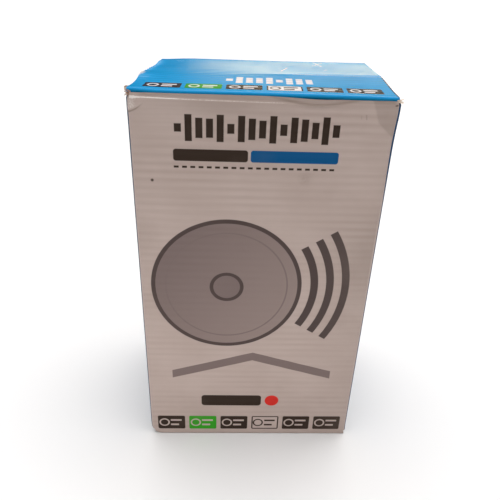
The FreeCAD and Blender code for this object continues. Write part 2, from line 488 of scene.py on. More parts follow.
def chips(coat, first, count, pitch, size, middle_v, white):
    """A row of rounded chips in dark, green and outlined finishes, each with a ring and two dashes."""
    number, local, in_row = repeats(coat, first, count, pitch)
    width, height = size
    outline = 1.2
    ring_half = 0.7
    dash_height = 2.2
    shape = bar(local, coat.v, (0, middle_v), size, corner=1.5)
    field = inked(shape) * in_row
    green = (number - GREEN_CHIP).do("COMPARE", 0, 0.1)
    outlined = (number - OUTLINED_CHIP).do("COMPARE", 0, 0.1)
    coat.paint(field, DARK)
    coat.paint(field * green, GREEN)
    coat.paint(inked(shape + outline) * in_row * outlined, white)
    marks = abs(disc(local, coat.v, (-0.26 * width, middle_v), 0.25 * height)) - ring_half
    for shift, dash, lift in ((0.17, 0.4, 0.17), (0.12, 0.3, -0.17)):
        middle = (shift * width, middle_v + lift * height)
        marks = marks.least(bar(local, coat.v, middle, (dash * width, dash_height), corner=0.4))
    marks = inked(marks) * in_row
    coat.paint(marks * (outlined * -1 + 1), white)
    coat.paint(marks * outlined, DARK)


def waveform(coat, first, count, pitch, width, middle_v, least, swing, colour):
    """A run of upright bars whose heights rise and fall."""
    number, local, in_row = repeats(coat, first, count, pitch)
    height = abs((number * BAR_TURN).do("SINE")) * swing + least
    across = abs(local) - width / 2
    along = abs(coat.v - middle_v) - height / 2
    coat.paint(inked(across.most(along)) * in_row, colour)


def paint_heading(coat):
    """A run of bars with two labels and a line of dashes under it."""
    u, v = coat.u, coat.v
    left = -64
    dash_pitch = 6
    dash_half = 2
    waveform(coat, left, count=16, pitch=7.5, width=5, middle_v=305, least=6, swing=14, colour=DARK)
    coat.paint(inked(bar(u, v, middle=(-37, 285), size=(54, 9), corner=2)), DARK)
    coat.paint(inked(bar(u, v, middle=(24, 285), size=(64, 9), corner=2)), BLUE_LABEL)
    dash = (u - left).do("FLOORED_MODULO", dash_pitch) - dash_half
    line = inked(bar(u, v, middle=(-4, 276), size=(120, 1.6), corner=0.2))
    coat.paint(abs(dash).ramp(dash_half, dash_half - INK_SOFT) * line, DARK)


def paint_picture(coat):
    """A shaded disc with a dark rim, arcs that spread from it, and a gable line under it."""
    u, v = coat.u, coat.v
    middle = (-24, 172)
    rim, face, groove = 62, 58.5, 50
    hub_rim, hub = 14, 11
    far = length(u - middle[0], v - middle[1])
    slope = (u - v * 0.6).ramp(-190, -60)
    coat.paint(inked(far - rim), GREY_DARK)
    coat.paint(inked(far - face), GREY)
    coat.paint(inked(far - face) * slope, GREY_PALE)
    coat.paint(inked(abs(far - groove) - 0.6), GREY)
    coat.paint(inked(far - hub_rim), GREY_DARK)
    coat.paint(inked(far - hub), GREY)

    arcs_start, arcs_end, arc_pitch, arc_half = 66, 105, 13, 3.2
    wedge = abs(v - middle[1]) - (u - middle[0]) * 0.62
    ring = (far - arcs_start).do("FLOORED_MODULO", arc_pitch) - arc_pitch / 2
    arcs = (abs(ring) - arc_half).most(wedge).most(far - arcs_end).most(far * -1 + arcs_start)
    coat.paint(inked(arcs), GREY_DARK)

    gable_top, gable_slope, gable_half, gable_reach = 98, 0.3, 4.5, 72
    gable = abs(v + abs(u) * gable_slope - gable_top) - gable_half
    coat.paint(inked(gable.most(abs(u) - gable_reach)), GREY)


def paint_marks(coat):
    """A spot, two ticks, a split corner, painted shade of a small dent, faint dirty blotches, and painted
    shade towards the right edge.
    """
    u, v = coat.u, coat.v
    grain = coat.cloud(2, 3)
    coat.paint(inked(disc(u, v, (-80, 265), 1.1), soft=0.8) * 0.9, DARK)
    strokes = [
        # start, end, half width, softness, strength, colour
        ((72.5, 314.3), (72, 317.1), 0.3, 0.8, 0.5, GRIME_AND_SHADE),
        ((68.9, 314.5), (68.6, 316.6), 0.25, 0.8, 0.3, GRIME_AND_SHADE),
        ((91, 324.2), (94, 324.8), 0.4, 0.6, 1, DARK),
    ]
    for start, end, radius, soft, strength, colour in strokes:
        coat.paint(inked(stroke(u, v, start, end, radius), soft) * strength, colour)
    # Painted shade of a small dent.
    coat.paint(inked(disc(u, v, (33, 269), 4), soft=6) * grain * 0.45, GRIME_AND_SHADE)
    coat.paint(coat.cloud(60, 4).ramp(0.55, 0.85) * 0.25, GRIME_AND_SHADE)
    # Painted shade towards the right edge, strongest around mid-height and over the lower part.
    right_edge_shade = abs(v - 205).ramp(55, 5) * 0.16 + v.ramp(250, 225) * 0.11
    coat.paint(u.ramp(50, 90) * right_edge_shade, GRIME_AND_SHADE)


def front_print():
    coat = paper_base("front_print")
    paint_heading(coat)
    paint_picture(coat)
    coat.paint(inked(bar(coat.u, coat.v, middle=(-18, 44), size=(56, 13), corner=3)), DARK)
    coat.paint(inked(disc(coat.u, coat.v, (20, 44), 6.5)), RED)
    chips(coat, first=-90, count=6, pitch=30, size=(26, 17), middle_v=15, white=PAPER)
    paint_marks(coat)
    return light_and_wear_finish(coat)


def lid_print(name, specular):
    coat = blue_base(name, 0.2, BLUE, BLUE_DEEP, specular)
    u, v = coat.u, coat.v
    waveform(coat, -30, count=9, pitch=7.5, width=5, middle_v=-32, least=8, swing=12, colour=LID_WHITE)
    chips(coat, first=-87, count=6, pitch=29, size=(26, 14), middle_v=-54, white=LID_WHITE)
    # Painted shade in bands along the flutes.
    coat.paint(flute_bands(coat) * 0.4, BLUE_DEEP)

    # Painted shade: a dark line along the right edge in front of the crease.
    edge = LID_HALF / MM
    coat.paint(u.ramp(edge - 1.3, edge - 0.8) * v.ramp(-4, -9), BLUE_SIDE_DEEP)
    grain = coat.cloud(1.2, 3).ramp(0.3, 0.6)
    scuffs = [
        # start, end, half width
        ((14, 10), (20, 31), 0.5),
        ((45, 68), (51, 41), 0.5),
        ((43, 46), (53, 64), 0.4),
        ((51, 21), (53, 24), 0.7),
    ]
    for start, end, radius in scuffs:
        coat.paint(inked(stroke(u, v, start, end, radius), soft=0.8) * grain, SCUFF_AND_HIGHLIGHT)

    # The varnish shines in streaks along the flutes. The front fold is rough, and painted a deeper blue as
    # shade.
    streaks = coat.cloud(8, 3, stretch=(25, 1)).ramp(0.3, 0.7)
    folded = v.ramp(-66, -69)
    coat.rough = coat.rough + streaks * 0.06 + folded * 0.4
    coat.paint(folded * 0.8, BLUE_DEEP)
    return light_and_wear_finish(coat)


def side_print():
    """Deeper blue of the sides, with the front's white where u is below 0."""
    coat = blue_base("side_print", 0.36, BLUE_SIDE, BLUE_SIDE_DEEP, MATT)
    coat.paint(coat.u.ramp(0.15, -0.15), PAPER)
    return light_and_wear_finish(coat)


def plain_paper():
    """White paper with the edge of the lid's blue at its top."""
    coat = paper_base("plain_paper")
    coat.paint(coat.v.ramp(318, 318.4), BLUE)
    return light_and_wear_finish(coat)


def kraft_paper():
    """Brown inner liner with long pale fibres."""
    coat = Coat("kraft_paper", KRAFT, roughness=0.75)
    coat.paint(coat.cloud(2.5, 4, stretch=(6, 1)).ramp(0.35, 0.7) * 0.7, KRAFT_DARK)
    coat.paint(coat.cloud(0.8, 4).ramp(0.62, 0.75) * 0.5, RAW_EDGE)
    return coat.finish(coat.cloud(0.6, 4, stretch=(3, 1)))


def raw_paper(name, pale, dark):
    """Raw paper where the board is cut, torn or split."""
    coat = Coat(name, pale, roughness=0.8)
    coat.paint(coat.cloud(1.5, 4).ramp(0.4, 0.7), dark)
    return coat.finish(coat.cloud(0.4, 4))


FRONT_PRINT = front_print()
LID_PRINT = lid_print("lid_print", VARNISH)
LID_FOLD_PRINT = lid_print("lid_fold_print", MATT)
SIDE_PRINT = side_print()
FLAP_PRINT = light_and_wear_finish(blue_base("flap_print", 0.36, BLUE, BLUE_DEEP))
PLAIN_PAPER = plain_paper()
KRAFT_PAPER = kraft_paper()
CUT_EDGE = raw_paper("cut_edge", RAW_EDGE, RAW_EDGE_DARK)
TORN_PAPER = raw_paper("torn_paper", TORN, TORN_DARK)
SPLIT_PAPER = raw_paper("split_paper", SPLIT, SPLIT_DARK)


# Front panel: a crease along its top edge, a lip, a creased left corner and a facet at the right.
LEDGE_Z = 324.0 * MM
LEDGE_LIFT = 1.6 * MM
LEDGE_END = 40 * MM
CREASE_FOOT = 315.4 * MM
CREASE_CURVE = 0.036 / MM
CORNER_OUT = 1.1 * MM
FACET_PLACE = (80.6 * MM, 311.5 * MM)
FACET_SLOPE = 0.07
LIP_OUT = 1.6 * MM
FOOT_OUT = 0.8 * MM
FINE_START = 306 * MM  # rows of points lie close above this

# The rim above the crease: how far its rows step back, and their share of the height.
RIM_BACK = np.array([0.2, 0.5, 0.62, 0.68, 0.75, 0.85, 0.95, 1.15])[:, None] * MM
RIM_RISE = np.array([0.06, 0.11, 0.18, 0.35, 0.55, 0.75, 0.92, 1.0])[:, None]
CUT_DROP = np.array([0, 1.0, 1.6, 0.6, 0.8])[:, None] * MM  # across the cut edge


def front_top(x):
    """The height of the front panel's cut edge, pushed down at the right."""
    return PANEL_TOP + 2.3 * MM - 1.0 * MM * rise(x, -5 * MM, 45 * MM)


def ledge_height(x):
    """The height of the crease along the front panel's top edge."""
    left = np.clip((25 * MM - x) / (118 * MM), 0, 1)
    return LEDGE_Z + LEDGE_LIFT * left ** 2


def corner_crease(x, z):
    """Distances above and along the crease that cuts off the top left corner."""
    across = x + HALF_WIDTH + 1.5 * MM
    above = 0.8 * (z - CREASE_FOOT - CREASE_CURVE * across * across)
    return above, across


def facet_depth(x, z):
    """How far a place lies inside the facet at the top right, which leans back."""
    across, up = x - FACET_PLACE[0], z - FACET_PLACE[1]
    beside = 0.938 * across + 0.346 * up
    over = 0.675 * across + 0.738 * up
    return np.clip(np.minimum(beside, over), 0, None)


def lip_share(x):
    return bell(x, 36 * MM, 18 * MM)


def hollow_height(x):
    """The height of the curved dent under the lip."""
    return 323.5 * MM + 3.2 * MM * ((x - 37 * MM) / (26 * MM)) ** 2


def front_dents(x, z):
    """How far the front panel stands out, from bulges, knocks and creases."""
    bulge = FRONT_BULGE * (1 - (x / PANEL_HALF) ** 2) * np.sin(np.pi * np.clip(z / PANEL_TOP, 0, 1))
    lip = LIP_OUT * lip_share(x) * rise(z - hollow_height(x), -1.4 * MM, 1.2 * MM)
    above, along = corner_crease(x, z)
    corner = rise(above, -0.5 * MM, 0.4 * MM) * rise(above, 10 * MM, 1 * MM)
    corner = CORNER_OUT * corner * rise(along, 14 * MM, 8 * MM)
    foot = FOOT_OUT * rise(z, 60 * MM, 0)
    facet = FACET_SLOPE * facet_depth(x, z) * rise(x, PANEL_HALF, 86 * MM)
    return (bulge + lip + corner - facet) * rise(z, 0, 30 * MM) + foot


def crease_light_and_shade(x, z):
    """Painted shade in the crease of the top left corner, a painted highlight on the lip under it, and the
    corner above it painted paler.
    """
    above, along = corner_crease(x, z)
    painted_shade = 1.4 * bell(above, -0.2 * MM, 0.45 * MM) * rise(along, 14 * MM, 7 * MM)
    lip = 0.5 * bell(above, -1.5 * MM, 0.4 * MM) * rise(along, 6 * MM, 2 * MM)
    corner = 0.42 * rise(above, 0.3 * MM, 1.5 * MM) * rise(along, 13 * MM, 6 * MM)
    return lip + corner - painted_shade


def front_light_and_wear(x, z):
    """Painted highlights and scuffed paper at the top right corner, above 0, and painted shade in creases,
    the dent, on the facet and along the top edge, below 0.
    """
    over = z - ledge_height(x)
    # Painted highlight along the crease of the top edge, strongest at the far left and gone at the right.
    rubbed_and_highlight = 0.8 - 0.28 * rise(x, -72 * MM, -48 * MM)
    ledge = rubbed_and_highlight * bell(over, 0, 0.5 * MM) * rise(x, LEDGE_END, 5 * MM)
    # Painted shade on the rim above that crease, and below it in the middle.
    rim = 0.38 * rise(over, 0.8 * MM, 1.4 * MM)
    under = 0.3 * bell(x, -30 * MM, 40 * MM) * rise(z, 311 * MM, 322 * MM) * (over < -0.5 * MM)
    # Painted shade in the curved dent under the lip, and on the facet at the top right.
    crescent = bell(z, hollow_height(x), 1.1 * MM) * lip_share(x) ** 0.5
    facet = 0.34 * rise(facet_depth(x, z), 0, 1.4 * MM)
    chip = 0.7 * bell(x, PANEL_HALF, 2 * MM) * bell(z, 326.6 * MM, 1 * MM)
    return ledge + chip + crease_light_and_shade(x, z) - crescent - facet - rim - under


def front_panel():
    sheet = Sheet("front_panel")
    left, right = -76 * MM, 66 * MM  # columns of points lie close outside of these
    coarse = (left, 0, 4 * MM), (0, right, 1.5 * MM)
    x = spaced((-PANEL_HALF, left, 0.7 * MM), *coarse, (right, PANEL_HALF, 0.8 * MM))
    ledge = ledge_height(x)
    rows = np.tile(spaced((BASE_FOLD, FINE_START, FLUTE_PITCH / 7))[:, None], len(x))
    z = join([rows, np.linspace(rows[-1], ledge, 34)[1:]])
    uneven = 1 + 0.5 * np.sin(x / (31 * MM)) * np.sin(z / (43 * MM))
    y = -HALF_DEPTH - front_dents(x, z) - washboard(z, FRONT_HOLLOW * uneven * rise(z, 0, 10 * MM))

    # Above the crease the edge steps back a little, then stands up to the cut.
    stepped = 1 - 0.85 * rise(x, 0, LEDGE_END)
    rim_y = y[-1] + stepped * RIM_BACK
    top = front_top(x)
    outer_y = join([y, rim_y])
    outer_z = join([z, ledge + (top - ledge) * RIM_RISE])
    light_and_wear = front_light_and_wear(x, outer_z)
    sheet.grid(stack(x, outer_y, outer_z), FRONT_PRINT, (0, -1, 0), stack(x, outer_z), painted_light_and_wear=light_and_wear)

    # The cut edge, then the inside.
    inner_y = y[-1] + BOARD
    cut_y = np.array([rim_y[-1], rim_y[-1] + 0.3 * MM, inner_y - 0.5 * MM, inner_y - 0.3 * MM, inner_y])
    cut_z = top - CUT_DROP
    sheet.grid(stack(x, cut_y, cut_z), CUT_EDGE, (0, 0, 1))
    inner_z = np.linspace(cut_z[-1], np.full_like(x, FLOOR_TOP), 30)
    inner_wall = -INNER_Y + (inner_y + INNER_Y) * rise(inner_z, 250 * MM, 320 * MM)
    sheet.grid(stack(x, inner_wall, inner_z), KRAFT_PAPER, (0, 1, 0), stack(x, inner_z))
    add_bottom_flap(sheet, x, -1, FRONT_PRINT, y[0])
    return sheet.make()


def add_bottom_flap(sheet, x, toward, material, wall_y):
    """The fold under the front (-1) or back (1) panel and the flap that runs in from it."""
    arc_y = toward * (HALF_DEPTH - BASE_FOLD + BASE_FOLD * np.cos(QUARTER))
    arc_z = BASE_FOLD - BASE_FOLD * np.sin(QUARTER)
    reach = toward * np.linspace(HALF_DEPTH - BASE_FOLD, SEAM_HALF, 24)[1:]
    outer_y = join([arc_y, reach])
    outer_z = join([arc_z, np.zeros(len(reach))])
    outer = stack(x, outer_y[:, None], outer_z[:, None])
    fade = np.linspace(1, 0, len(arc_y))[:, None]
    outer[:len(arc_y), :, 1] += (wall_y - toward * HALF_DEPTH) * fade
    run = BASE_FOLD - distance_along(outer_y, outer_z)
    flat = stack(x, run[:, None])
    sheet.grid(outer, material, (0, 0.3 * toward, -1), flat)

    fold_y = np.full(len(arc_y), toward * INNER_Y)
    fold_z = np.linspace(BASE_FOLD + BOARD, BOARD, len(arc_y))
    inner_y = join([fold_y, toward * np.minimum(abs(reach), INNER_Y)])
    inner_z = join([fold_z, np.full(len(reach), BOARD)])
    inner = stack(x, inner_y[:, None], inner_z[:, None])
    sheet.grid(inner, KRAFT_PAPER, (0, -0.3 * toward, 1), flat)
    sheet.strip(outer[-1], inner[-1], CUT_EDGE, (0, -toward, 0))
    sheet.fluted_ends(outer, inner, (1, 0, 0), run)


# Sides: how far the front's white runs round the left (-1) and right (1) folds, at foot and top.
PRINT_WRAP = {-1: (1.6 * MM, 1.3 * MM), 1: (1.5 * MM, 0.5 * MM)}
PRINT_SWING = (235 * MM, 300 * MM)  # heights between which its edge swings over
FOLD_SHADE = {-1: 0.25, 1: 0.5}  # painted shade on the white of those folds


def side_line():
    """Plan of the right side from the front fold to the back fold: places and outward directions."""
    turn = -QUARTER[::-1]
    front = np.column_stack([np.cos(turn), np.sin(turn)])
    rear = np.column_stack([-np.sin(turn), np.cos(turn)])[1:]
    y = np.append(spaced((-DUST_FOLD_Y, DUST_FOLD_Y, 6 * MM)), BACK_FOLD_Y)
    straight = np.column_stack([np.full(len(y), HALF_WIDTH), y])
    centre = np.array([PANEL_HALF, BACK_FOLD_Y])
    places = join([centre * (1, -1) + FOLD * front, straight, centre + FOLD * rear])
    outward = join([front, np.tile([1.0, 0.0], (len(straight), 1)), rear])
    return places, outward


def add_side(sheet, side):
    """The left (-1) or right (1) panel with the folds beside it."""
    places, outward = side_line()
    distance = distance_along(*places.T)
    frontal = np.clip(-outward[:, 1], 0, 1)
    z = spaced((BOARD + FOLD, FLAP_FOLD_Z, FLUTE_PITCH / 7))
    angles = QUARTER[:0:-1]
    rows_z = join([BOARD + FOLD - FOLD * np.sin(angles), z])[:, None]
    shrink = join([FOLD * (1 - np.cos(angles)), np.zeros(len(z))])[:, None]
    depth = SIDE_HOLLOW * np.clip(1 - abs(outward[:, 1]) * 3, 0, 1)
    bowed = np.clip(1 - (places[:, 1] / BACK_FOLD_Y) ** 2, 0, 1)
    out = washboard(rows_z, depth) + SIDE_BULGE * np.sin(np.pi * rows_z / PANEL_TOP) * bowed - shrink
    x = side * (places[:, 0] + outward[:, 0] * out)
    y = places[:, 1] + outward[:, 1] * out - front_dents(side * PANEL_HALF, rows_z) * frontal

    wrap_foot, wrap_top = PRINT_WRAP[side]
    run = distance - wrap_foot - (wrap_top - wrap_foot) * rise(rows_z, *PRINT_SWING)
    # Scuffed paper round the back folds, the painted light of the corner crease, and painted shade on the
    # white of the front folds.
    rubbed_and_highlight = 0.22 * bell(outward[:, 1], 0.6, 0.3)
    painted_shade = FOLD_SHADE[side] * bell(outward[:, 1], -0.6, 0.3) * (run < 0)
    light_and_wear = rubbed_and_highlight + crease_light_and_shade(x, rows_z) * frontal - painted_shade
    sheet.grid(stack(x, y, rows_z), SIDE_PRINT, (side, 0, 0), stack(run, rows_z), painted_light_and_wear=light_and_wear)

    # Rounded tops of the corner folds, beside the slots of the dust flap.
    corner = abs(places[:, 1]) > DUST_FOLD_Y - NEAR
    inset = FOLD * (1 - np.cos(QUARTER))[:, None]
    cap_z = (FLAP_FOLD_Z + FOLD * np.sin(QUARTER))[:, None]
    for picked in (corner & (places[:, 1] < 0), corner & (places[:, 1] > 0)):
        cap_x = side * (places[picked, 0] - outward[picked, 0] * inset)
        dents = front_dents(side * PANEL_HALF, cap_z) * frontal[picked]
        cap_y = places[picked, 1] - outward[picked, 1] * inset - dents
        flat = stack(distance[picked] - wrap_top, cap_z)
        sheet.grid(stack(cap_x, cap_y, cap_z), SIDE_PRINT, (side, 0, 0.5), flat, painted_light_and_wear=0.1)


def add_back(sheet):
    """The back panel with its top turning towards the lid."""
    x = spaced((-PANEL_HALF, PANEL_HALF, 7 * MM))
    z = spaced((BASE_FOLD, LID_FOLD_Z, FLUTE_PITCH / 7))
    turned_y, turned_z = fold_arc(BACK_FOLD_Y, LID_FOLD_Z, np.radians(np.linspace(0, 45, 5))[1:])
    rows_z = join([z, turned_z])[:, None]
    bulge = SIDE_BULGE * np.sin(np.pi * z / LID_TOP)[:, None] * (1 - (x / PANEL_HALF) ** 2)
    back_y = HALF_DEPTH + washboard(z, SIDE_HOLLOW * rise(z, 0, 10 * MM))[:, None] + bulge
    rows_y = join([back_y, np.tile(turned_y[:, None], len(x))])
    rows_x = x * (1 + (LID_HALF / PANEL_HALF - 1) * rise(rows_z, FLAP_FOLD_Z, PANEL_TOP))
    sheet.grid(stack(rows_x, rows_y, rows_z), PLAIN_PAPER, (0, 1, 0), stack(x, rows_z))

    # The mitred top edge and the cut ends beside the lid.
    tip = (turned_y[-1], turned_z[-1])
    sheet.strip(stack(rows_x[-1], *tip), stack(rows_x[-1], INNER_Y, LID_BOTTOM), CUT_EDGE, (0, -1, 1))
    near_z = (PANEL_TOP, LID_BOTTOM, LID_BOTTOM)
    far_y, far_z = (HALF_DEPTH, HALF_DEPTH, tip[0]), (PANEL_TOP, LID_BOTTOM, tip[1])
    for end in (-1, 1):
        edge = end * LID_HALF
        sheet.strip(stack(edge, INNER_Y, near_z), stack(edge, far_y, far_z), CUT_EDGE, (end, 0, 0))
    add_bottom_flap(sheet, x, 1, PLAIN_PAPER, back_y[0])


def add_panel(sheet, corners, facing, steps=(12, 12), material=KRAFT_PAPER):
    """A flat panel between four corners: low left, low right, high left and high right."""
    low_left, low_right, high_left, high_right = np.array(corners, float)
    low = np.linspace(low_left, low_right, steps[0] + 1)
    high = np.linspace(high_left, high_right, steps[0] + 1)
    points = np.linspace(low, high, steps[1] + 1)
    flat = stack(points[..., 0] + points[..., 1], points[..., 2])
    sheet.grid(points, material, facing, flat if facing[2] == 0 else None)


def add_inside(sheet):
    """Brown liner of the inside: walls, the folded-in floor flaps and the glue flap."""
    def add_wall(x, low, high, facing, material=KRAFT_PAPER):
        corners = [(x, y, z) for z in (low, high) for y in (-INNER_Y, INNER_Y)]
        add_panel(sheet, corners, facing, material=material)

    for side in (-1, 1):
        wall_x = side * INNER_X
        edge = side * FLOOR_GAP_HALF
        add_wall(wall_x, FLOOR_TOP, FLAP_BOTTOM, (-side, 0, 0))
        add_panel(sheet, [(x, y, FLOOR_TOP) for y in (-INNER_Y, INNER_Y) for x in (edge, wall_x)], (0, 0, 1))
        add_wall(edge, BOARD, FLOOR_TOP, (-side, 0, 0), CUT_EDGE)
    back = [(x, INNER_Y, z) for z in (FLOOR_TOP, LID_BOTTOM) for x in (-INNER_X, INNER_X)]
    add_panel(sheet, back, (0, -1, 0))

    # Glue flap against the left panel: its face, then its lower, front and upper edges.
    face = -INNER_X + BOARD
    rim = [(INNER_Y, GLUE_LOW), (GLUE_FRONT, GLUE_LOW + GLUE_SLOPE)]
    rim += [(GLUE_FRONT, GLUE_HIGH - GLUE_SLOPE), (INNER_Y, GLUE_HIGH)]
    add_panel(sheet, [(face, *rim[corner]) for corner in (1, 0, 2, 3)], (1, 0, 0))
    for start, end, facing in zip(rim, rim[1:], ((0, 0, -1), (0, -1, 0), (0, 0, 1))):
        corners = [(x, *corner) for x in (-INNER_X, face) for corner in (start, end)]
        add_panel(sheet, corners, facing, (8, 2), CUT_EDGE)


def carton_shell():
    sheet = Sheet("carton_shell")
    for side in (-1, 1):
        add_side(sheet, side)
    add_back(sheet)
    add_inside(sheet)
    return sheet.make()


BLEED_ROWS = 12  # rows of a dust flap's points that the blue print covers


def dust_flap(side):
    """A flap folded in from the top of a side panel, under the lid."""
    sheet = Sheet("dust_flap_" + SIDES[side])
    arc_x, arc_z = fold_arc(PANEL_HALF, FLAP_FOLD_Z, QUARTER)
    corner_x = DUST_TIP + DUST_CORNER * (1 - np.cos(np.radians(np.linspace(0, 90, 9))))
    flat_x = spaced((DUST_TIP + DUST_CORNER, DUST_STEP, FLUTE_PITCH / 6))
    beyond = join([flat_x[::-1], corner_x[::-1][1:]])
    x = join([arc_x, [DUST_STEP], beyond])
    z = join([arc_z, np.full(len(x) - len(arc_z), FLAP_TOP)])
    share = (DUST_STEP - beyond) / (DUST_STEP - DUST_TIP)
    rounding = np.clip(DUST_TIP + DUST_CORNER - beyond, 0, None)
    inset = DUST_TAPER * share + DUST_CORNER - np.sqrt(np.clip(DUST_CORNER ** 2 - rounding ** 2, 0, None))
    straight = np.full(len(x) - len(beyond), DUST_FOLD_Y)
    front = join([-straight, DUST_FRONT + inset])[:, None]
    rear = join([straight, DUST_FOLD_Y - inset])[:, None]
    y = front + (rear - front) * np.linspace(0, 1, 25)
    run = distance_along(x, z)
    sunk = washboard(run, FLAP_HOLLOW) * (z > FLAP_TOP - NEAR)
    outer = stack(side * x[:, None], y, (z + sunk)[:, None])
    inner = stack(side * np.minimum(x, INNER_X)[:, None], y, FLAP_BOTTOM)
    flat = stack(y, run[:, None])
    sheet.grid(outer[:BLEED_ROWS], FLAP_PRINT, (side, 0, 1), flat[:BLEED_ROWS])
    sheet.grid(outer[BLEED_ROWS - 1:], PLAIN_PAPER, (0, 0, 1), flat[BLEED_ROWS - 1:])
    sheet.grid(inner, KRAFT_PAPER, (0, 0, -1), flat)
    sheet.fluted_ends(outer, inner, (0, 1, 0), run)
    sheet.strip(outer[-1], inner[-1], CUT_EDGE, (-side, 0, 0))
    return sheet.make()


# Lid.
REAR_RUN = BACK_FOLD_Y - RIDGE_Y  # from the back fold to the crease
FORE_RUN = RIDGE_Y - FRONT_FOLD_Y  # from the crease to the front fold
SOFT_RIDGE = 15 * MM  # how widely the crease across the lid is rounded at its left end
RIPPLE = 0.025 * MM  # depth of the long waves behind that crease
BEAD = 0.35 * MM  # height of the sharp line along it
SAG = 0.3 * MM  # depth of the dip behind it


def lid_height(y):
    """The height of the lid's printed face, which climbs from both folds to the crease."""
    return LID_TOP + RIDGE_RISE * np.minimum((BACK_FOLD_Y - y) / REAR_RUN, (y - FRONT_FOLD_Y) / FORE_RUN)


def lid_section():
    """Side view of the lid's printed face, and how many points both folds and the tuck flap have."""
    back_y, back_z = fold_arc(BACK_FOLD_Y, LID_FOLD_Z, np.radians(np.linspace(48, 90, 5)))
    step = FLUTE_PITCH / 8
    rear = np.linspace(BACK_FOLD_Y, RIDGE_Y, round(REAR_RUN / step))[1:]
    fore = np.linspace(RIDGE_Y, FRONT_FOLD_Y, round(FORE_RUN / step))[1:]
    fold_y, fold_z = fold_arc(FRONT_FOLD_Y, LID_FOLD_Z, np.radians(np.linspace(90, 180, 10))[1:])
    share = join([np.linspace(0, 1, 16)[1:-2], 1 - np.linspace(0.12, 0, 7)])
    tuck_y = LID_FRONT + TUCK_LEAN * share
    tuck_z = LID_FOLD_Z + (TUCK_TIP - LID_FOLD_Z) * share
    y = join([back_y, rear, fore, fold_y, tuck_y])
    z = join([back_z, lid_height(rear), lid_height(fore), fold_z, tuck_z])
    return y, z, len(back_y), len(fold_y), len(tuck_y)


def lid_relief(x, y, run, flat_part):
    """Hollows, ripples and the line of the crease, and how far the whole lid dips."""
    rear = rise(y, RIDGE_Y - 4 * MM, RIDGE_Y + 4 * MM)
    depth = (0.10 + 0.08 * rear + 0.05 * np.sin(x / (23 * MM)) * np.sin(y / (17 * MM))) * MM
    depth += 0.4 * MM * rear * rise(-x, 84 * MM, LID_HALF)
    bead = BEAD * bell(y, RIDGE_Y + 0.03 * x, 1.4 * MM) * rise(x, -30 * MM, 20 * MM)
    wave = np.sin(run / (2.2 * MM) + x / (40 * MM)) + np.sin(run / (3.4 * MM) - x / (60 * MM))
    sag = -SAG * bell(x, 10 * MM, 50 * MM) * bell(y, 34 * MM, 24 * MM)
    beside = abs(y - RIDGE_Y)
    soft = SOFT_RIDGE * rise(x, 20 * MM, -60 * MM)
    rounded = (beside - np.hypot(beside, soft)) * RIDGE_RISE / REAR_RUN
    return (washboard(run, depth) + bead + RIPPLE * rear * wave) * flat_part, (sag + rounded) * flat_part


# Paler paint: scuffed ink at the side edges and by the back fold, and a spot on the bump at the left edge
# and a line along the crease's right part that are partly scuffed ink and partly painted highlight.
def lid_light_and_wear(x, y):
    near_edge = rise(abs(x), LID_HALF - 1.2 * MM, LID_HALF)
    bump = bell(x, -LID_HALF, 5 * MM) * bell(y, -20 * MM, 9 * MM)
    ridge = bell(y, RIDGE_Y, 1 * MM) * rise(x, 0, 30 * MM)
    back = rise(y, HALF_DEPTH - 5 * MM, BACK_FOLD_Y)
    return 0.3 * near_edge + 0.6 * bump + 0.5 * ridge + 0.4 * back


def lid_panel():
    sheet = Sheet("lid_panel", KNOCKS + LID_KNOCKS)
    y, z, turned, folded, tucked = lid_section()
    top = len(y) - tucked
    brink = top - folded - 1
    run = distance_along(y, z)
    slope = np.column_stack([np.gradient(y), np.gradient(z)])
    slope /= np.linalg.norm(slope, axis=1)[:, None]
    normal = np.column_stack([slope[:, 1], -slope[:, 0]])
    normal[0] = normal[1]

    # The tuck flap is narrower than the lid and rounded at its free corners.
    drop = np.clip(TUCK_CORNER - (z - TUCK_TIP), 0, TUCK_CORNER)
    rounding = TUCK_CORNER - np.sqrt(TUCK_CORNER ** 2 - drop ** 2)
    is_tuck = np.arange(len(y)) >= top
    half = np.where(is_tuck, TUCK_HALF - rounding, LID_HALF)
    x = half[:, None] * spaced((-1, -0.9, 0.008), (-0.9, 0.9, 0.03), (0.9, 1, 0.01))
    flat_part = rise(run, 2 * MM, 8 * MM) * rise(run, run[top] - 4 * MM, run[top] - 8 * MM)
    out, shift = lid_relief(x, y[:, None], run[:, None], flat_part[:, None])
    outer = stack(x, y[:, None] + normal[:, :1] * out, z[:, None] + normal[:, 1:] * out + shift)
    inner_y = np.where(is_tuck, y + BOARD, np.clip(y, LID_FRONT + BOARD, INNER_Y - MITRE_GAP))
    crown = np.maximum(lid_height(inner_y), LID_TOP)
    inner_z = np.where(is_tuck, np.minimum(z, LID_BOTTOM), crown - BOARD)
    inner = stack(x, inner_y[:, None], inner_z[:, None] + shift)

    flat = stack(x, (BACK_FOLD_Y - run + run[turned - 1])[:, None])
    light_and_wear = lid_light_and_wear(x, y[:, None])
    above, below = slice(brink + 1), slice(brink, None)
    sheet.grid(outer[above], LID_PRINT, (0, 0, 1), flat[above], painted_light_and_wear=light_and_wear[above])
    sheet.grid(outer[below], LID_FOLD_PRINT, (0, -1, 0.5), flat[below], painted_light_and_wear=light_and_wear[below])
    sheet.grid(inner, KRAFT_PAPER, (0, 0.2, -1), flat)
    sheet.fluted_ends(outer, inner, (1, 0, 0), run)
    sheet.strip(outer[-1], inner[-1], CUT_EDGE, (0, 0, -1))
    sheet.strip(outer[0], inner[0], CUT_EDGE, (0, 1, -1))
    return sheet.make()


# Liners that run on across the fold between back panel and lid.
LINER_PROUD = 0.06 * MM  # how far they stand out from the board
LINER_STEPS = 3  # on each side of the fold


